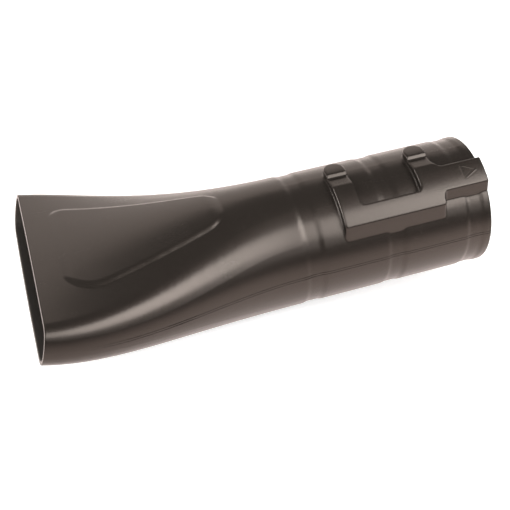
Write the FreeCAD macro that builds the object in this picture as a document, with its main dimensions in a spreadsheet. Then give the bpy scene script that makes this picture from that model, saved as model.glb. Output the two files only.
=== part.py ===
import FreeCAD, Part
import math
import os
import Sketcher

# Leaf blower nozzle tube: one blow-moulded piece with a uniform wall.
# Modelling frame: the socket's axis is X, the rear end lies at X = 0 and the air leaves towards +X.
# +Z is the mould's draw direction on the side of the panel, and the bayonet track lies on the +Y side.
# Everything is modelled twice, as the outside and as the hollow one wall further in, and cut once.

NODE = "nozzle_tube"

DIMENSIONS = {
    # Wall and round socket
    "wall": 2.0,
    "socket_diameter": 75.0,
    "rear_band": 2.6,
    # Ring grooves, which stand inside as centring ribs
    "groove_count": 3,
    "groove_pitch": 48.2,
    "groove_width": 13.0,
    "groove_depth": 0.55,
    "groove_flank": 3.8,
    # Bent nozzle, measured along its arc, with the mouth's outside sizes
    "nozzle_length": 145.9,
    "nozzle_bend": 16.3,
    "mouth_width": 136.0,
    "mouth_near_rise": 12.4,
    "mouth_far_rise": 14.7,
    "near_corner_radius": 8.5,
    "far_corner_radius": 11.2,
    # Bayonet track: insets are from the socket's side, other distances from the draw plane through the axis
    "track_height": 4.65,
    "bar_inset": 3.3,
    "bar_width": 8.3,
    "neck_inset": 8.2,
    "neck_inner": 16.2,
    "arm_width": 12.0,
    "notch_radius": 2.5,
    "neck_radius": 5.0,
    "bar_corner_radius": 1.5,
    # Stud pockets at the arms' ends
    "pocket_centre": 1.2,
    "ledge_start": 14.9,
    "ledge_radius": 4.0,
    "cap_foot": 6.4,
    "cap_top": 5.9,
    # Raised panel on the near wide face, placed along the nozzle's arc; its widths are at half its flanks
    "panel_height": 1.4,
    "panel_start": 35.4,
    "panel_end": 134.4,
    "panel_narrow": 21.0,
    "panel_wide": 82.0,
    "panel_track_side": 2.9,
    "panel_flank": 6.2,
    "panel_rise": 10.0,
    "panel_ramp": 9.0,
    # Its corners: how far each runs along the panel and how much it takes off the width
    "panel_tip_length": 16.0,
    "panel_tip_width": 6.0,
    "panel_near_corner_length": 22.0,
    "panel_near_corner_width": 20.0,
    "panel_far_corner_length": 13.0,
    "panel_far_corner_width": 8.0,
    # Rounded edges
    "track_edge_radius": 1.0,
    "cap_edge_radius": 1.3,
    "track_foot_radius": 0.6,
}

doc = FreeCAD.newDocument("nozzle")
dims = doc.addObject("Spreadsheet::Sheet", "dims")
for row, (alias, number) in enumerate(DIMENSIONS.items(), start=1):
    dims.set(f"A{row}", alias)
    dims.set(f"B{row}", str(number))
    dims.setAlias(f"B{row}", alias)
doc.recompute()

RADIUS = "dims.socket_diameter / 2"
SOCKET_LENGTH = "(dims.rear_band + (dims.groove_count - 1) * dims.groove_pitch + dims.groove_width)"


def value(expression):
    """The number that an expression over the sheet gives."""
    result = dims.evalExpression(expression)
    return float(getattr(result, "Value", result))


def sketch_on(name, placement, path):
    """A closed sketch whose corners are all bound to the sheet.

    path starts with a point (x, y); every later step is (x, y) for a line, or
    (x, y, axis, centre, turn) for an arc whose centre has the given x or y; turn is "left" or "right".
    """
    sketch = doc.addObject("Sketcher::SketchObject", name)
    sketch.Placement = placement
    corners = [(step[0], step[1]) for step in path]
    numbers = [FreeCAD.Vector(value(x), value(y), 0) for x, y in corners]
    ends = []
    for index in range(len(path)):
        step = path[(index + 1) % len(path)]
        start = numbers[index]
        stop = numbers[(index + 1) % len(path)]
        if len(step) == 2:
            edge = sketch.addGeometry(Part.LineSegment(start, stop), False)
            ends.append((edge, 1, 2))
            continue
        axis, centre_expression, turn = step[2:]
        centre = arc_centre(start, stop, axis, value(centre_expression))
        left = turn == "left"
        first, last = (start, stop) if left else (stop, start)
        circle = Part.Circle(centre, FreeCAD.Vector(0, 0, 1), centre.distanceToPoint(start))
        span = (angle_of(first - centre), angle_of(last - centre))
        edge = sketch.addGeometry(Part.ArcOfCircle(circle, *span), False)
        ends.append((edge, 1, 2) if left else (edge, 2, 1))
        kind = "DistanceX" if axis == "x" else "DistanceY"
        bind(sketch, kind, edge, 3, centre_expression)
    for index, (edge, start_end, stop_end) in enumerate(ends):
        following, following_start, _ = ends[(index + 1) % len(ends)]
        sketch.addConstraint(Sketcher.Constraint("Coincident", edge, stop_end, following, following_start))
        x, y = corners[index]
        bind(sketch, "DistanceX", edge, start_end, x)
        bind(sketch, "DistanceY", edge, start_end, y)
    return sketch


def bind(sketch, kind, edge, end, expression):
    """Hold one coordinate of a sketch point to an expression over the sheet."""
    origin = (-1, 1)
    number = sketch.addConstraint(Sketcher.Constraint(kind, *origin, edge, end, value(expression)))
    sketch.setExpression(f"Constraints[{number}]", expression)


def arc_centre(start, stop, axis, known):
    """The centre that is equally far from both ends and has one known coordinate."""
    middle = (start + stop) / 2
    chord = stop - start
    if axis == "x":
        return FreeCAD.Vector(known, middle.y - chord.x * (known - middle.x) / chord.y, 0)
    return FreeCAD.Vector(middle.x - chord.y * (known - middle.y) / chord.x, known, 0)


def angle_of(direction):
    return math.atan2(direction.y, direction.x)


PLAN = FreeCAD.Placement()
SIDE = FreeCAD.Placement(FreeCAD.Vector(), FreeCAD.Rotation(FreeCAD.Vector(1, 0, 0), 90))
END = FreeCAD.Placement(FreeCAD.Vector(), FreeCAD.Rotation(FreeCAD.Vector(1, 1, 1), 120))


def socket(name, inset):
    """The round socket as a turned solid, with its ring grooves one inset further in."""
    outer = f"({RADIUS} - {inset})"
    floor = f"({RADIUS} - {inset} - dims.groove_depth)"
    middle = f"({RADIUS} - {inset} - dims.groove_depth / 2)"
    path = [("0", "0"), ("0", outer)]
    for index in range(int(value("dims.groove_count"))):
        near = f"(dims.rear_band + {index} * dims.groove_pitch)"
        far = f"({near} + dims.groove_width)"
        path += [
            (near, outer),
            (f"{near} + dims.groove_flank / 2", middle, "x", near, "right"),
            (f"{near} + dims.groove_flank", floor, "x", f"{near} + dims.groove_flank", "left"),
            (f"{far} - dims.groove_flank", floor),
            (f"{far} - dims.groove_flank / 2", middle, "x", f"{far} - dims.groove_flank", "left"),
            (far, outer, "x", far, "right"),
        ]
    path.append((SOCKET_LENGTH, "0"))
    profile = sketch_on(f"{name}_profile", SIDE, path)
    turned = doc.addObject("Part::Revolution", name)
    turned.Source = profile
    turned.Axis = (1, 0, 0)
    turned.Angle = 360
    turned.Solid = True
    return turned


def track_plan(name, inset):
    """The track seen along the draw direction: neck, bar and two round-ended arms."""
    half_arm = f"(dims.arm_width / 2 - {inset})"
    first = "(dims.rear_band + dims.groove_width / 2 + dims.groove_pitch / 2)"
    second = f"({first} + dims.groove_pitch)"
    rear = f"({first} - {half_arm})"
    front = f"({second} + {half_arm})"
    notch_rear = f"({first} + {half_arm})"
    notch_front = f"({second} - {half_arm})"
    notch_radius = f"(dims.notch_radius + {inset})"
    neck_radius = f"(dims.neck_radius + {inset})"
    corner = "dims.bar_corner_radius"
    step = f"({rear} - {notch_radius})"
    bar_outer = f"({RADIUS} - dims.bar_inset - {inset})"
    bar_inner = f"({RADIUS} - dims.bar_inset - dims.bar_width + {inset})"
    neck_outer = f"({RADIUS} - dims.neck_inset - {inset})"
    neck_inner = f"(dims.neck_inner + {inset})"
    path = [
        ("0", neck_inner),
        (f"{rear} - {neck_radius}", neck_inner),
        (rear, f"{neck_inner} - {neck_radius}", "y", f"{neck_inner} - {neck_radius}", "right"),
        (rear, "dims.pocket_centre"),
        (notch_rear, "dims.pocket_centre", "y", "dims.pocket_centre", "left"),
        (notch_rear, f"{bar_inner} - {notch_radius}"),
        (f"{notch_rear} + {notch_radius}", bar_inner, "x", f"{notch_rear} + {notch_radius}", "right"),
        (f"{notch_front} - {notch_radius}", bar_inner),
        (notch_front, f"{bar_inner} - {notch_radius}", "x", f"{notch_front} - {notch_radius}", "right"),
        (notch_front, "dims.pocket_centre"),
        (front, "dims.pocket_centre", "y", "dims.pocket_centre", "left"),
        (front, f"{bar_outer} - {corner}"),
        (f"{front} - {corner}", bar_outer, "x", f"{front} - {corner}", "left"),
        (f"{rear} + {corner}", bar_outer),
        (rear, f"{bar_outer} - {corner}", "x", f"{rear} + {corner}", "left"),
        (rear, f"{neck_outer} + {notch_radius}"),
        (step, neck_outer, "x", step, "right"),
        ("0", neck_outer),
    ]
    return sketch_on(name, PLAN, path)


def track_roof(name, inset):
    """The track's height seen along the axis: a round roof with a flat ledge cut in front of the pockets."""
    roof = f"({RADIUS} + dims.track_height - {inset})"
    ledge = f"(sqrt(({RADIUS} + dims.track_height)^2 - dims.ledge_start^2) - {inset})"
    bend = f"(dims.ledge_radius - {inset})"
    bend_centre = f"sqrt(({roof} - {bend})^2 - ({ledge} - {bend})^2)"
    bend_share = f"{roof} / ({roof} - {bend})"
    cap_foot = f"(dims.cap_foot - {inset})"
    cap_top = f"(dims.cap_top - {inset})"
    path = [
        (roof, "0"),
        (f"{bend_centre} * {bend_share}", f"({ledge} - {bend}) * {bend_share}", "x", "0", "left"),
        (bend_centre, ledge, "x", bend_centre, "left"),
        (cap_foot, ledge),
        (cap_top, f"sqrt({roof}^2 - {cap_top}^2)"),
        (f"-{roof}", "0", "x", "0", "left"),
    ]
    return sketch_on(name, END, path)


def extruded(name, base, direction, length):
    solid = doc.addObject("Part::Extrusion", name)
    solid.Base = base
    solid.DirMode = "Custom"
    solid.Dir = direction
    solid.Solid = True
    solid.setExpression("LengthFwd", length)
    return solid


def common(name, *solids):
    result = doc.addObject("Part::MultiCommon", name)
    result.Shapes = list(solids)
    return result


def fused(name, *solids):
    result = doc.addObject("Part::MultiFuse", name)
    result.Shapes = list(solids)
    result.Refine = False
    return result


def rounded(name, base, *groups):
    """Round edges of a solid: each group is a radius expression and the test that picks its edges."""
    doc.recompute()
    edges = []
    for radius, wanted in groups:
        size = value(radius)
        for number, edge in enumerate(base.Shape.Edges, start=1):
            faces = base.Shape.ancestorsOfType(edge, Part.Face)
            middle = edge.valueAt((edge.FirstParameter + edge.LastParameter) / 2)
            if len(faces) == 2 and wanted(edge, middle, [normal_at(face, middle) for face in faces]):
                edges.append((number, size, size))
    result = doc.addObject("Part::Fillet", name)
    result.Base = base
    result.Edges = edges
    return result


def normal_at(face, point):
    return face.normalAt(*face.Surface.parameter(point))


TOUCH = 1e-4


def is_wall_edge(normals):
    """Whether an edge joins a wall along the draw direction to a face that leans from it."""
    slopes = sorted(abs(normal.z) for normal in normals)
    return slopes[0] < TOUCH < slopes[1]


def is_cap_edge(edge, middle, normals):
    """The edge across an arm at the top of its pocket's cap."""
    across = abs(edge.tangentAt(edge.FirstParameter).x) > 1 - TOUCH
    return across and abs(middle.y - value("dims.cap_top")) < TOUCH


def is_roof_edge(edge, middle, normals):
    """The track's upper edges, apart from its open rear end."""
    return is_wall_edge(normals) and middle.z > TOUCH and middle.x > TOUCH


def is_foot_edge(edge, middle, normals):
    """The edges where the track's walls leave the socket."""
    radius = value(RADIUS)
    reach = math.hypot(middle.y, middle.z)
    on_socket = radius - value("dims.groove_depth") - TOUCH < reach < radius + TOUCH
    on_track = TOUCH < middle.x < value(SOCKET_LENGTH) - TOUCH and middle.z > 0
    return on_socket and on_track and is_wall_edge(normals)


def track(name, inset):
    """The bayonet track: its plan, raised to its roof."""
    plan = extruded(f"{name}_plan", track_plan(f"{name}_outline", inset), (0, 0, 1), "dims.socket_diameter")
    roof = extruded(f"{name}_roof", track_roof(f"{name}_section", inset), (1, 0, 0), SOCKET_LENGTH)
    return common(name, plan, roof)


def eased(start, end, along, end_slope):
    """From start to end over along = 0..1, level at first and with the given slope at the end."""
    return start + (end - start) * ((3 - end_slope) * along ** 2 + (end_slope - 2) * along ** 3)


# How the sections change on their way to the mouth
WIDTH_END_SLOPE = -0.1
RISE_END_SLOPE = 1.06
CORNER_END_SLOPE = 0.45
ARC_END_SLOPE = 0.9

# Half the sweep of the arcs that crown the wide faces and the narrow sides, in degrees
SOCKET_ARC = 30.0
NEAR_FACE_ARC = 1.9
NEAR_SIDE_ARC = 20.0
FAR_FACE_ARC = 2.4
FAR_SIDE_ARC = 8.4

SECTION_COUNT = 9


def quarter_arcs(half_width, rise, corner, face_arc, side_arc, inset):
    """Three tangent arcs from a wide face's middle to a narrow side's middle: (centre, radius, angles)."""
    sine, versine = math.sin(face_arc), 1 - math.cos(face_arc)
    side_sine, side_versine = math.sin(side_arc), 1 - math.cos(side_arc)
    share = sine * side_sine - versine * side_versine
    face_extra = ((half_width - corner) * side_sine - (rise - corner) * side_versine) / share
    side_extra = ((rise - corner) * sine - (half_width - corner) * versine) / share
    face_radius = corner + face_extra
    side_radius = corner + side_extra
    corner_centre = (face_extra * sine, rise - face_radius + face_extra * math.cos(face_arc))
    return (
        ((0, rise - face_radius), face_radius - inset, 0, face_arc),
        (corner_centre, corner - inset, face_arc, math.pi / 2 - side_arc),
        ((half_width - side_radius, 0), side_radius - inset, math.pi / 2 - side_arc, math.pi / 2),
    )


# The two halves of a section: which way they face, how far they rise and how their corners and faces curve
NEAR_HALF = (1, "dims.mouth_near_rise", "dims.near_corner_radius", NEAR_FACE_ARC, NEAR_SIDE_ARC)
FAR_HALF = (-1, "dims.mouth_far_rise", "dims.far_corner_radius", FAR_FACE_ARC, FAR_SIDE_ARC)


def half_arcs(half, along, inset):
    """The tangent arcs of one half of a section, from its wide face's middle to its narrow side's."""
    _, rise, corner, face_arc, side_arc = half
    radius = value(RADIUS)
    return quarter_arcs(
        eased(radius, value("dims.mouth_width / 2"), along, WIDTH_END_SLOPE),
        eased(radius, value(rise), along, RISE_END_SLOPE),
        eased(radius, value(corner), along, CORNER_END_SLOPE),
        math.radians(eased(SOCKET_ARC, face_arc, along, ARC_END_SLOPE)),
        math.radians(eased(SOCKET_ARC, side_arc, along, ARC_END_SLOPE)),
        inset,
    )


def section_wire(along, inset):
    """One section of the nozzle: a closed wire of tangent arcs, square to the bent centre line."""
    edges = []
    for half in (NEAR_HALF, FAR_HALF):
        up = half[0]
        face, *others = half_arcs(half, along, inset)
        edges.append(arc_edge(face, -face[3], face[3], 1, up))
        for side in (1, -1):
            for arc in others:
                edges.append(arc_edge(arc, arc[2], arc[3], side, up))
    wire = Part.Wire(Part.__sortEdges__(edges))
    wire.Placement = station(along)
    return wire


def arc_edge(arc, first, last, side, up):
    """An arc of a section in its own plane, where angles run from the wide face to the narrow side."""
    (across, height), radius, _, _ = arc
    points = []
    for angle in (first, (first + last) / 2, last):
        y = side * (across + radius * math.sin(angle))
        z = up * (height + radius * math.cos(angle))
        points.append(FreeCAD.Vector(0, y, z))
    return Part.Arc(*points).toShape()


def station(along):
    """The frame of a section on the bent centre line."""
    bend = math.radians(value("dims.nozzle_bend"))
    bend_radius = value("dims.nozzle_length") / bend
    angle = along * bend
    x = value(SOCKET_LENGTH) + bend_radius * math.sin(angle)
    z = bend_radius * (1 - math.cos(angle))
    turn = FreeCAD.Rotation(FreeCAD.Vector(0, -1, 0), math.degrees(angle))
    return FreeCAD.Placement(FreeCAD.Vector(x, 0, z), turn)


def lofted(name, wires):
    """A smooth solid through closed wires."""
    sections = []
    for index, wire in enumerate(wires):
        section = doc.addObject("Part::Feature", f"{name}_section_{index}")
        section.Shape = wire
        sections.append(section)
    loft = doc.addObject("Part::Loft", name)
    loft.Sections = sections
    loft.Solid = True
    loft.Ruled = False
    return loft


def nozzle(name, inset):
    """The bent transition from the round socket to the flat mouth."""
    depth = value(inset)
    shares = [index / (SECTION_COUNT - 1) for index in range(SECTION_COUNT)]
    return lofted(name, [section_wire(share, depth) for share in shares])


# How far the panel's flanks dip under the skin that they leave, and how deep its body reaches below it
FLANK_DIP = 0.3
PANEL_DEPTH = 1.5

# Where the panel has sections, as shares of its end zones and of the stretch between them
PANEL_END_SHARES = (0.0, 0.12, 0.26, 0.42, 0.6, 0.8, 1.0)
PANEL_MIDDLE_SHARES = (0.25, 0.5, 0.75)


def smooth_step(distance, length):
    """From 0 to 1 over a length, level at both ends."""
    share = min(max(distance / length, 0.0), 1.0)
    return share * share * (3 - 2 * share)


def corner_cut(corner, distance):
    """How much a corner takes off the panel's width at a distance from the panel's end."""
    share = min(distance / value(f"dims.panel_{corner}_length"), 1.0)
    return value(f"dims.panel_{corner}_width") * (1 - share) ** 2


def panel_wire(distance, inset):
    """One section of the panel: a low hill on the near face with S-shaped flanks, closed below the skin."""
    from_start = distance - value("dims.panel_start")
    from_end = value("dims.panel_end") - distance
    lift = min(
        smooth_step(from_start, value("dims.panel_rise")),
        smooth_step(from_end, value("dims.panel_ramp")),
    )
    top = (value("dims.panel_height") + FLANK_DIP) * lift - FLANK_DIP
    flank = value("dims.panel_flank")
    spread = value("dims.panel_wide - dims.panel_narrow") / 2
    border = value("dims.panel_narrow") / 2 + spread * from_start / (from_start + from_end) - flank / 2
    near = border + value("dims.panel_track_side")
    near -= max(corner_cut("tip", from_start), corner_cut("near_corner", from_end))
    far = border - max(corner_cut("tip", from_start), corner_cut("far_corner", from_end))
    along = distance / value("dims.nozzle_length")
    (_, centre), radius, _, _ = half_arcs(NEAR_HALF, along, inset)[0]

    def at(across, height):
        angle = across / radius
        reach = radius + height
        return FreeCAD.Vector(0, reach * math.sin(angle), centre + reach * math.cos(angle))

    edges = []
    for extra, height in ((0.0, top), (flank, -PANEL_DEPTH)):
        edges.append(Part.Arc(at(-far - extra, height), at(0, height), at(near + extra, height)).toShape())
    for side, top_edge in ((1, near), (-1, far)):
        inner, middle, outer = (side * (top_edge + extra) for extra in (0.0, flank / 2, flank))
        slope = Part.BezierCurve()
        slope.setPoles([at(inner, top), at(middle, top), at(middle, -FLANK_DIP), at(outer, -FLANK_DIP)])
        edges.append(slope.toShape())
        edges.append(Part.makeLine(at(outer, -FLANK_DIP), at(outer, -PANEL_DEPTH)))
    wire = Part.Wire(Part.__sortEdges__(edges))
    wire.Placement = station(along)
    return wire


def panel(name, inset):
    """The raised panel, lofted along the near face."""
    start, end = value("dims.panel_start"), value("dims.panel_end")
    tip = value("dims.panel_tip_length")
    corner = value("dims.panel_near_corner_length")
    distances = [start + tip * share for share in PANEL_END_SHARES]
    distances += [start + tip + (end - start - tip - corner) * share for share in PANEL_MIDDLE_SHARES]
    distances += [end - corner * share for share in reversed(PANEL_END_SHARES)]
    return lofted(name, [panel_wire(distance, value(inset)) for distance in distances])


def body(name, inset, soft_track):
    """The socket, the nozzle, the panel and the track as one solid, one inset inside the outer skin."""
    return fused(
        name,
        socket(f"socket_{name}", inset),
        nozzle(f"nozzle_{name}", inset),
        panel(f"panel_{name}", inset),
        soft_track,
    )


soft_track = rounded(
    "soft_track",
    rounded("soft_caps", track("track_outside", "0"), ("dims.cap_edge_radius", is_cap_edge)),
    ("dims.track_edge_radius", is_roof_edge),
)
sharp_outside = body("outside", "0", soft_track)
outside = rounded("soft_outside", sharp_outside, ("dims.track_foot_radius", is_foot_edge))
hollow = body("hollow", "dims.wall", track("track_hollow", "dims.wall"))
piece = doc.addObject("Part::Cut", NODE)
piece.Base = outside
piece.Tool = hollow
piece.Label = NODE
doc.recompute()

# Fineness of the points that find the resting place, in millimetres, and of its search, in degrees
REST_FINENESS = 0.02
FIRST_STEP = 8.0
LAST_STEP = 0.1


def up_direction(pitch, roll):
    pitched = FreeCAD.Rotation(FreeCAD.Vector(0, 1, 0), pitch)
    rolled = FreeCAD.Rotation(FreeCAD.Vector(1, 0, 0), roll)
    return (pitched * rolled).multVec(FreeCAD.Vector(0, 0, 1))


def rest_placement(shape):
    """Lay the piece as it comes to rest, panel side up: where its centre of mass lies lowest."""
    points, _ = shape.tessellate(REST_FINENESS)
    centre = shape.Solids[0].CenterOfMass

    def height(tilt):
        up = up_direction(*tilt)
        return centre.dot(up) - min(point.dot(up) for point in points)

    tilt = (0.0, 0.0)
    lowest = height(tilt)
    step = FIRST_STEP
    while step > LAST_STEP:
        moves = ((step, 0), (-step, 0), (0, step), (0, -step))
        tries = [(tilt[0] + pitch, tilt[1] + roll) for pitch, roll in moves]
        level, nearest = min((height(candidate), candidate) for candidate in tries)
        if level < lowest:
            lowest, tilt = level, nearest
        else:
            step /= 2
    turn = FreeCAD.Rotation(up_direction(*tilt), FreeCAD.Vector(0, 0, 1))
    laid = FreeCAD.BoundBox()
    for point in points:
        laid.add(turn.multVec(point))
    return FreeCAD.Placement(FreeCAD.Vector(-laid.Center.x, -laid.Center.y, -laid.ZMin), turn)


piece.Placement = rest_placement(piece.Shape)

for item in doc.Objects:
    if {"Invalid", "Error"} & set(item.State):
        raise RuntimeError(f"{item.Name} failed: {item.State}")
if piece.Shape.isNull() or not piece.Shape.isValid():
    raise RuntimeError(f"{NODE} has no valid shape")

os.makedirs("parts", exist_ok=True)
piece.Shape.exportStep(f"parts/{NODE}.step")
print(NODE, "solids", len(piece.Shape.Solids), "volume", round(piece.Shape.Volume), piece.Placement)
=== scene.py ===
import math

import bmesh
import bpy
from mathutils import Matrix, Vector


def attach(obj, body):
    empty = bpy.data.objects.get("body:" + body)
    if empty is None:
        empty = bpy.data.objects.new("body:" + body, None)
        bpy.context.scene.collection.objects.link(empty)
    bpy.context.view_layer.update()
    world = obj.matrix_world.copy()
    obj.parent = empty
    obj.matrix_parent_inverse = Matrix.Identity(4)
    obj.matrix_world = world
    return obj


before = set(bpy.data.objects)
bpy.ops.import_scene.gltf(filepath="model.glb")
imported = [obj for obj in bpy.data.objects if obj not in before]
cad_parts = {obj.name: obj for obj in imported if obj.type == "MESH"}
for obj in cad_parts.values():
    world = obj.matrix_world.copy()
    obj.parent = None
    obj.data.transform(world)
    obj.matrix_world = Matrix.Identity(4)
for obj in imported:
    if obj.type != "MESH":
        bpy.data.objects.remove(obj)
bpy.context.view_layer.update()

# Lengths are in metres where nothing else is said. The tube's own frame is in millimetres: the socket's
# axis is X, the rear end lies at X = 0, the mouth is towards +X and the track is on the +Y side.
MM = 0.001

# How the tube lies on the floor: its own frame in the row frame, in millimetres and degrees
LAID_PLACE = (-126.994, -0.295887, 53.4199)
LAID_YAW = -0.354005
LAID_PITCH = 7.46683
LAID_ROLL = -5.42111

# Camera, in the tube's own frame
CAMERA_PLACE = (237.119, 412.301, 319.112)
CAMERA_RIGHT = (-0.95168, 0.29953, -0.06769)
CAMERA_UP = (-0.23353, -0.56281, 0.79291)
CAMERA_LENS = 65.35
CAMERA_SENSOR = 36.0

# Studio panels, each upright and facing the tube. A bearing of 0 is straight in front, towards +Y, and
# 90 is on the mouth's side. Every row: bearing in degrees, distance, width, foot, top, glow, tint.
LAMP_WHITE = (1.0, 1.0, 1.0)
LAMP_WARM = (1.0, 0.88, 0.82)
PANELS = {
    "soft_box_rear": (-51.0, 1.4, 0.50, 0.58, 2.05, 7.0, LAMP_WHITE),
    "soft_box_middle": (-32.0, 1.4, 0.66, 0.61, 1.85, 6.0, LAMP_WHITE),
    "soft_box_front": (-6.0, 1.4, 0.66, 0.65, 1.95, 3.5, LAMP_WHITE),
    "soft_box_mouth": (20.0, 1.4, 0.66, 0.65, 2.05, 2.2, LAMP_WHITE),
    "soft_box_apron": (-24.0, 1.45, 0.95, 0.25, 0.62, 1.1, LAMP_WHITE),
    "upper_wall": (-30.0, 1.4, 4.0, 2.15, 4.5, 0.35, LAMP_WARM),
    "low_strip": (97.0, 1.4, 1.0, 0.02, 0.45, 11.0, LAMP_WHITE),
    "back_wall": (188.0, 1.7, 2.5, 0.05, 2.0, 0.98, LAMP_WARM),
    "back_wall_foot": (188.0, 1.75, 2.5, 0.0, 0.4, 0.7, LAMP_WARM),
}
# The fill lamp on the mouth's side only lights the hollow: it isn't mirrored in the skin
FILL_PANEL = (88.0, 1.4, 1.4, 0.55, 1.9, 4.0, LAMP_WHITE)
ROOM_LIGHT = 0.21
ROOM_TINT = (1.0, 0.94, 0.88)

# Floor: pale where the tube lies. What the tube mirrors of it turns grey towards the front.
FLOOR_SIZE = 6.0
FLOOR_TONE = 0.8
FLOOR_GLOW = 0.6
FLOOR_MIRRORED_GLOW = 0.72
FLOOR_TINT = (1.0, 0.88, 0.84)
FLOOR_DARK = (0.10, 0.09, 0.085)
FLOOR_DARK_BEARING = 12.0
FLOOR_PALE_TO = 0.02
FLOOR_DARK_FROM = 0.28
UNLIT = (0.0, 0.0, 0.0, 1.0)

# Tube sizes that the scene's own pieces follow, in millimetres
SOCKET_RADIUS = 37.5
SOCKET_LENGTH = 112.0
GROOVE_STARTS = (2.6, 50.8, 99.0)
GROOVE_WIDTH = 13.0
GROOVE_DEPTH = 0.55
GROOVE_FLANK = 3.8
NOZZLE_LENGTH = 145.9
NOZZLE_BEND = math.radians(16.3)
MOUTH_HALF_WIDTH = 68.0
WIDTH_END_SLOPE = -0.1
TRACK_ROOF_RADIUS = 42.15

# Where the caps of the stud pockets stand on the ledge: across the track and in height
CAP_FOOT_FROM = 5.8
CAP_FOOT_TO = 9.0
CAP_FOOT_LOW = 38.5
CAP_FOOT_HIGH = 40.7

# The caps' blunt fronts: where they lie, how far they face forward, and the slope they are blunted to
CAP_FRONT_FROM = 4.6
CAP_FRONT_TO = 7.2
CAP_FRONT_LOW = 39.95
CAP_FRONT_FACING = 0.79
CAP_FRONT_SLOPE = math.radians(40.0)

# Parting line: two fine ridges that the mould's halves leave along both sides, with a few thicker spots
SEAM_STEP = 1.5
SEAM_END = 240.0
SEAM_TAPER = 30.0
SEAM_OFFSETS = (0.75, -0.65)
SEAM_RADIUS = 0.12
SEAM_THINNEST = 0.05
SEAM_SHEEN = 0.15
# Every thicker spot: its middle, its spread and the thickness that it adds
SEAM_NICKS = ((111.0, 2.0, 1.0), (186.0, 8.0, 0.9))

# Arrow on the track's neck, in the tube's own frame: its corners (x, y) on the round roof, and the
# thickness of the stroke that starts at each of them
ARROW_CORNERS = ((13.0, 19.2), (12.6, 26.1), (5.0, 23.0))
ARROW_THICKNESSES = (1.0, 1.0, 0.78)
ARROW_STEPS = 6
ARROW_RADIUS = 0.95
ARROW_LIFT = -0.62

# Charcoal plastic: tones, sheen, a duller skin inside the tube, and a paler tone inside it that is
# painted light
CHARCOAL = (0.0118, 0.0097, 0.0083)
CHARCOAL_WORN = (0.0150, 0.0124, 0.0107)
SHEEN_LEVEL = 0.62
SHEEN_TINT = (1.0, 0.87, 0.78)
SKIN_ROUGHNESS = 0.26
INSIDE_PAINTED_LIGHT = (0.050, 0.046, 0.042)
INSIDE_DULLNESS = 0.25
INSIDE_MARGIN = 4.0

# Soft edges in millimetres, how round the ridges are, and how far an edge turns to look worn
EDGE_SOFTNESS = 1.3
EDGE_SAMPLES = 8
RIDGE_SOFTNESS = 0.1
RIDGE_ROUNDNESS = 5
WORN_FROM = 0.995
WORN_TO = 0.85

# The skin's fine grain, its mottle and the streaks along the tube, and how far each changes the skin
GRAIN_SCALE = 2600.0
GRAIN_DETAIL = 2.0
GRAIN_BUMP = 0.08
GRAIN_HEIGHT = 0.2
MOTTLE_SCALE = 70.0
MOTTLE_DETAIL = 5.0
STREAK_SCALE = (9.0, 150.0, 150.0)
STREAK_DETAIL = 3.0
NOISE_MIDDLE = 0.5
GRAIN_DULLS = 0.04
MOTTLE_DULLS = 0.03
STREAKS_DULL = 0.04
WEAR_POLISHES = 0.03
MOTTLE_PALES = 0.5
STREAKS_PALE = 0.3
WEAR_PALES = 0.4

laid_turn = (
    Matrix.Rotation(math.radians(LAID_YAW), 4, "Z")
    @ Matrix.Rotation(math.radians(LAID_PITCH), 4, "Y")
    @ Matrix.Rotation(math.radians(LAID_ROLL), 4, "X")
)
laid = Matrix.Scale(MM, 4) @ Matrix.Translation(LAID_PLACE) @ laid_turn


class Socket:
    """A shader socket that takes part in Python expressions."""

    def __init__(self, tree, socket):
        self.tree = tree
        self.socket = socket

    def node(self, kind, settings=None, output=0, **inputs):
        return add_node(self.tree, kind, settings, output, **inputs)

    def math(self, operation, *others):
        inputs = {str(index): other for index, other in enumerate((self, *others))}
        return self.node("ShaderNodeMath", {"operation": operation}, **inputs)

    def split(self):
        """The three parts of a vector."""
        parts = self.tree.nodes.new("ShaderNodeSeparateXYZ")
        self.tree.links.new(self.socket, parts.inputs[0])
        return [Socket(self.tree, part) for part in parts.outputs]

    def between(self, low, high):
        return self.math("GREATER_THAN", low) * self.math("LESS_THAN", high)

    def __add__(self, other):
        return self.math("ADD", other)

    __radd__ = __add__

    def __mul__(self, other):
        return self.math("MULTIPLY", other)

    __rmul__ = __mul__

    def __sub__(self, other):
        return self.math("SUBTRACT", other)

    def __rsub__(self, other):
        return (self * -1) + other


def add_node(tree, kind, settings=None, output=0, **inputs):
    """A node with its settings made first, then its inputs set or linked; gives one output."""
    node = tree.nodes.new(kind)
    for name, setting in (settings or {}).items():
        setattr(node, name, setting)
    for name, wanted in inputs.items():
        key = int(name) if name.isdigit() else name.replace("_", " ")
        link_or_set(tree, node.inputs[key], wanted)
    return Socket(tree, node.outputs[output])


def link_or_set(tree, socket, wanted):
    if isinstance(wanted, Socket):
        tree.links.new(wanted.socket, socket)
    else:
        socket.default_value = wanted


def new_material(name):
    material = bpy.data.materials.new(name)
    material.use_nodes = True
    material.node_tree.nodes.clear()
    return material, material.node_tree


def finish_material(tree, surface):
    end = tree.nodes.new("ShaderNodeOutputMaterial")
    tree.links.new(surface.socket, end.inputs["Surface"])


def in_tube_frame(vector, place):
    """A vector of the row frame in the tube's own frame, in metres: place is 1, or 0 for a direction."""
    turn = (math.radians(LAID_ROLL), math.radians(LAID_PITCH), math.radians(LAID_YAW))
    start = [c * MM * place for c in LAID_PLACE]
    settings = {"vector_type": "TEXTURE"}
    return vector.node("ShaderNodeMapping", settings, Vector=vector, Location=start, Rotation=turn)


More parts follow.
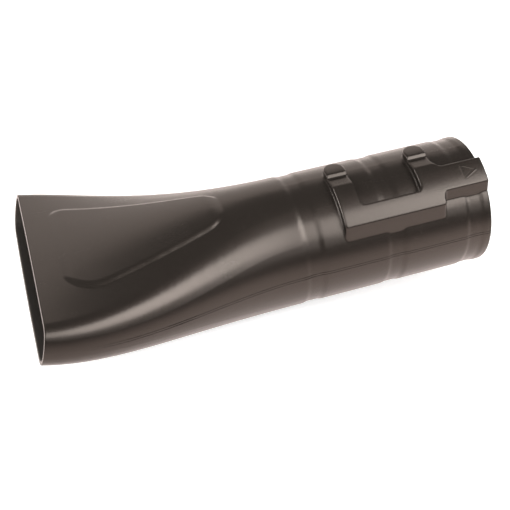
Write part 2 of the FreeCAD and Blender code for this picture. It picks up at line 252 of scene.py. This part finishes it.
def inside_mask(place, facing):
    """1 on the skin inside the tube, which faces the bent middle line, and 0 outside."""
    x, y, z = in_tube_frame(place, 1).split()
    past_socket = (x - SOCKET_LENGTH * MM).math("MAXIMUM", 0.0)
    rise = past_socket * past_socket * (NOZZLE_BEND / (2 * NOZZLE_LENGTH * MM))
    height = z - rise
    _, facing_y, facing_z = in_tube_frame(facing, 0).split()
    inward = (y * facing_y + height * facing_z).math("LESS_THAN", -INSIDE_MARGIN * MM)
    reach = (y * y + z * z).math("SQRT")
    below_skin = reach.math("LESS_THAN", (SOCKET_RADIUS - GROOVE_DEPTH) * MM)
    return inward * below_skin.math("MAXIMUM", past_socket.math("GREATER_THAN", 0.0))


def crisp_mask(place):
    """1 in the sharp corner at the foot of the stud pockets' caps."""
    _, y, z = in_tube_frame(place, 1).split()
    across = y.between(CAP_FOOT_FROM * MM, CAP_FOOT_TO * MM)
    return across * z.between(CAP_FOOT_LOW * MM, CAP_FOOT_HIGH * MM)


def cap_front_mask(place, facing):
    """1 on the fronts of the stud pockets' caps."""
    _, y, z = in_tube_frame(place, 1).split()
    _, forward, _ = in_tube_frame(facing, 0).split()
    across = y.between(CAP_FRONT_FROM * MM, CAP_FRONT_TO * MM)
    high = z.math("GREATER_THAN", CAP_FRONT_LOW * MM)
    return across * high * forward.math("GREATER_THAN", CAP_FRONT_FACING)


def blend(first, second, share):
    """From the first colour or vector to the second; either can be a socket."""
    ends = {"6": first, "7": second}
    return share.node("ShaderNodeMix", {"data_type": "RGBA"}, 2, Factor=share, **ends)


def dot(first, second):
    """The dot product of two vectors."""
    both = {"0": first, "1": second}
    return first.node("ShaderNodeVectorMath", {"operation": "DOT_PRODUCT"}, "Value", **both)


def share_between(measure, start, end, curve="LINEAR"):
    """From 0 to 1 while a measure goes from its start to its end."""
    settings = {"interpolation_type": curve}
    return measure.node("ShaderNodeMapRange", settings, Value=measure, From_Min=start, From_Max=end)


def noise(place, scale, detail):
    return place.node("ShaderNodeTexNoise", output="Fac", Vector=place, Scale=scale, Detail=detail)


def moulded_plastic(name, softness, sheen):
    """Charcoal plastic from a blasted mould: fine grain, flow streaks, soft worn edges, satin sheen."""
    material, tree = new_material(name)
    place = add_node(tree, "ShaderNodeTexCoord", output="Object")
    grain = noise(place, GRAIN_SCALE, GRAIN_DETAIL)
    mottle = noise(place, MOTTLE_SCALE, MOTTLE_DETAIL)
    along = place.node("ShaderNodeMapping", output="Vector", Vector=place, Scale=STREAK_SCALE)
    streaks = noise(along, 1.0, STREAK_DETAIL)

    soft = place.node("ShaderNodeBevel", {"samples": EDGE_SAMPLES}, "Normal", Radius=softness * MM)
    facing = place.node("ShaderNodeNewGeometry", output="Normal")
    inside = inside_mask(place, facing)
    worn = share_between(dot(soft, facing), WORN_FROM, WORN_TO)

    roughness = (
        SKIN_ROUGHNESS
        + (mottle - NOISE_MIDDLE) * MOTTLE_DULLS
        + (streaks - NOISE_MIDDLE) * STREAKS_DULL
        + (grain - NOISE_MIDDLE) * GRAIN_DULLS
        - worn * WEAR_POLISHES
        + inside * INSIDE_DULLNESS
    )

    paler = mottle * MOTTLE_PALES + streaks * STREAKS_PALE + worn * WEAR_PALES
    skin = blend((*CHARCOAL, 1.0), (*CHARCOAL_WORN, 1.0), paler)
    # Inside the tube the tone is painted paler: painted light for the light that falls into the hollow
    tone = blend(skin, (*INSIDE_PAINTED_LIGHT, 1.0), inside)

    edges = blend(soft, facing, crisp_mask(place))
    blunt = laid_turn @ Vector((0.0, math.cos(CAP_FRONT_SLOPE), math.sin(CAP_FRONT_SLOPE)))
    edges = blend(edges, (*blunt, 1.0), cap_front_mask(place, facing))
    normal = place.node(
        "ShaderNodeBump",
        output="Normal",
        Strength=GRAIN_BUMP,
        Distance=GRAIN_HEIGHT * MM,
        Height=grain,
        Normal=edges,
    )
    shader = place.node(
        "ShaderNodeBsdfPrincipled",
        output="BSDF",
        Base_Color=tone,
        Roughness=roughness,
        Specular_IOR_Level=sheen,
        Specular_Tint=(*SHEEN_TINT, 1.0),
        Normal=normal,
    )
    finish_material(tree, shader)
    return material


def pale_floor():
    """Pale floor that keeps the shadow, looks white, and mirrors warm and fading in the tube."""
    material, tree = new_material("pale_floor")
    path = tree.nodes.new("ShaderNodeLightPath")
    seen = Socket(tree, path.outputs["Is Camera Ray"])
    through = Socket(tree, path.outputs["Is Transmission Ray"])
    mirrored = Socket(tree, path.outputs["Is Glossy Ray"]).math("MAXIMUM", through)

    place = seen.node("ShaderNodeTexCoord", output="Object")
    turn = math.radians(FLOOR_DARK_BEARING)
    forward = dot(place, (math.sin(turn), math.cos(turn), 0.0))
    grey = share_between(forward, FLOOR_PALE_TO, FLOOR_DARK_FROM, "SMOOTHSTEP")
    pale = 1 - grey

    warm_tone = [FLOOR_TONE * part for part in FLOOR_TINT]
    tone = blend((*warm_tone, 1.0), (FLOOR_TONE, FLOOR_TONE, FLOOR_TONE, 1.0), seen)
    matt = pale.node("ShaderNodeBsdfDiffuse", output="BSDF", Color=tone)
    dark = pale.node("ShaderNodeBsdfDiffuse", output="BSDF", Color=(*FLOOR_DARK, 1.0))
    both = {"1": matt, "2": dark}
    fading = pale.node("ShaderNodeMixShader", output="Shader", Fac=mirrored * grey, **both)

    white_share = blend(UNLIT, (*LAMP_WHITE, 1.0), seen)
    white = pale.node("ShaderNodeEmission", output="Emission", Color=white_share, Strength=FLOOR_GLOW)
    warm_share = blend(UNLIT, (*FLOOR_TINT, 1.0), mirrored * pale)
    warm = pale.node(
        "ShaderNodeEmission",
        output="Emission",
        Color=warm_share,
        Strength=FLOOR_MIRRORED_GLOW,
    )
    glow = pale.node("ShaderNodeAddShader", output="Shader", **{"0": white, "1": warm})
    floor = pale.node("ShaderNodeAddShader", output="Shader", **{"0": fading, "1": glow})
    finish_material(tree, floor)
    return material


def piece_from(mesh, name):
    data = bpy.data.meshes.new(name)
    mesh.to_mesh(data)
    mesh.free()
    made = bpy.data.objects.new(name, data)
    bpy.context.scene.collection.objects.link(made)
    return made


def smooth_step(share):
    held = min(max(share, 0.0), 1.0)
    return held * held * (3 - 2 * held)


def groove_dip(x):
    """How deep the ring grooves lie below the socket's skin."""
    dip = 0.0
    for start in GROOVE_STARTS:
        inside = min(x - start, start + GROOVE_WIDTH - x)
        dip += GROOVE_DEPTH * smooth_step(inside / GROOVE_FLANK)
    return dip


def tube_side(travel, side, offset):
    """A point on the tube's side, at a distance from the rear end and an offset from its middle."""
    if travel < SOCKET_LENGTH:
        reach = math.sqrt(SOCKET_RADIUS**2 - offset**2) - groove_dip(travel)
        return Vector((travel, side * reach, offset))
    along = (travel - SOCKET_LENGTH) / NOZZLE_LENGTH
    widening = (3 - WIDTH_END_SLOPE) * along**2 + (WIDTH_END_SLOPE - 2) * along**3
    reach = SOCKET_RADIUS + (MOUTH_HALF_WIDTH - SOCKET_RADIUS) * widening
    bend_radius = NOZZLE_LENGTH / NOZZLE_BEND
    turn = along * NOZZLE_BEND
    x = SOCKET_LENGTH + bend_radius * math.sin(turn) - offset * math.sin(turn)
    z = bend_radius * (1 - math.cos(turn)) + offset * math.cos(turn)
    return Vector((x, side * reach, z))


def ridge(name, lines, radius, material):
    """A fine round ridge, partly sunk in the skin; every line is a list of points and thicknesses."""
    data = bpy.data.curves.new(name, "CURVE")
    data.dimensions = "3D"
    data.bevel_depth = radius * MM
    data.bevel_resolution = RIDGE_ROUNDNESS
    data.use_fill_caps = True
    for line in lines:
        spline = data.splines.new("POLY")
        spline.points.add(len(line) - 1)
        for point, (place, thickness) in zip(spline.points, line):
            point.co = (*(laid @ place), 1.0)
            point.radius = thickness
    made = bpy.data.objects.new(name, data)
    bpy.context.scene.collection.objects.link(made)
    data.materials.append(material)
    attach(made, "root")


def seam_thickness(travel):
    thickness = 1.0 - smooth_step((travel - SEAM_END + SEAM_TAPER) / SEAM_TAPER)
    for middle, spread, extra in SEAM_NICKS:
        thickness += extra * math.exp(-(((travel - middle) / spread) ** 2))
    return max(thickness, SEAM_THINNEST)


def parting_line(material):
    """The mould's parting line on both sides of the tube."""
    lines = []
    for side in (1, -1):
        for offset in SEAM_OFFSETS:
            travels = [step * SEAM_STEP for step in range(int(SEAM_END / SEAM_STEP))]
            lines.append([(tube_side(at, side, offset), seam_thickness(at)) for at in travels])
    ridge("parting_line", lines, SEAM_RADIUS, material)


def on_track_roof(x, y, lift):
    return Vector((x, y, math.sqrt(TRACK_ROOF_RADIUS**2 - y**2) + lift))


def direction_arrow(material):
    """The raised arrow outline on the neck, which shows which way the tube goes on."""
    lines = []
    for index, start in enumerate(ARROW_CORNERS):
        stop = ARROW_CORNERS[(index + 1) % len(ARROW_CORNERS)]
        line = []
        for step in range(ARROW_STEPS + 1):
            x, y = (first + (last - first) * step / ARROW_STEPS for first, last in zip(start, stop))
            line.append((on_track_roof(x, y, ARROW_LIFT), ARROW_THICKNESSES[index]))
        lines.append(line)
    ridge("direction_arrow", lines, ARROW_RADIUS, material)


def lay_floor():
    mesh = bmesh.new()
    bmesh.ops.create_grid(mesh, x_segments=1, y_segments=1, size=FLOOR_SIZE)
    floor = piece_from(mesh, "floor")
    floor.data.materials.append(pale_floor())


def place_camera():
    right = laid_turn.to_3x3() @ Vector(CAMERA_RIGHT)
    up = laid_turn.to_3x3() @ Vector(CAMERA_UP)
    back = right.cross(up)
    turn = Matrix((right, up, back)).transposed().to_4x4()
    data = bpy.data.cameras.new("camera")
    data.lens = CAMERA_LENS
    data.sensor_width = CAMERA_SENSOR
    data.sensor_fit = "HORIZONTAL"
    camera = bpy.data.objects.new("camera", data)
    camera.matrix_world = Matrix.Translation(laid @ Vector(CAMERA_PLACE)) @ turn
    bpy.context.scene.collection.objects.link(camera)
    bpy.context.scene.camera = camera


def stand_panel(name, bearing, distance, width, foot, top, glow, tint):
    data = bpy.data.lights.new(name, "AREA")
    data.shape = "RECTANGLE"
    data.size = width
    data.size_y = top - foot
    data.energy = glow * math.pi * data.size * data.size_y
    data.color = tint
    turn = math.radians(bearing)
    outward = Vector((math.sin(turn), math.cos(turn), 0.0))
    panel = bpy.data.objects.new(name, data)
    panel.location = outward * distance + Vector((0.0, 0.0, (foot + top) / 2))
    panel.rotation_euler = (-outward).to_track_quat("-Z", "Y").to_euler()
    panel.visible_camera = False
    bpy.context.scene.collection.objects.link(panel)
    return panel


def light_room():
    world = bpy.data.worlds.new("room")
    world.use_nodes = True
    world.node_tree.nodes["Background"].inputs["Color"].default_value = (*ROOM_TINT, 1.0)
    world.node_tree.nodes["Background"].inputs["Strength"].default_value = ROOM_LIGHT
    bpy.context.scene.world = world
    for name, panel in PANELS.items():
        stand_panel(name, *panel)
    stand_panel("fill", *FILL_PANEL).visible_glossy = False


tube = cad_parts["nozzle_tube"]
tube.data.materials.clear()
tube.data.materials.append(moulded_plastic("charcoal_plastic", EDGE_SOFTNESS, SHEEN_LEVEL))
parting_line(moulded_plastic("seam_plastic", RIDGE_SOFTNESS, SEAM_SHEEN))
direction_arrow(moulded_plastic("ridge_plastic", RIDGE_SOFTNESS, SHEEN_LEVEL))

lay_floor()
place_camera()
light_room()
bpy.context.scene.view_settings.view_transform = "Standard"
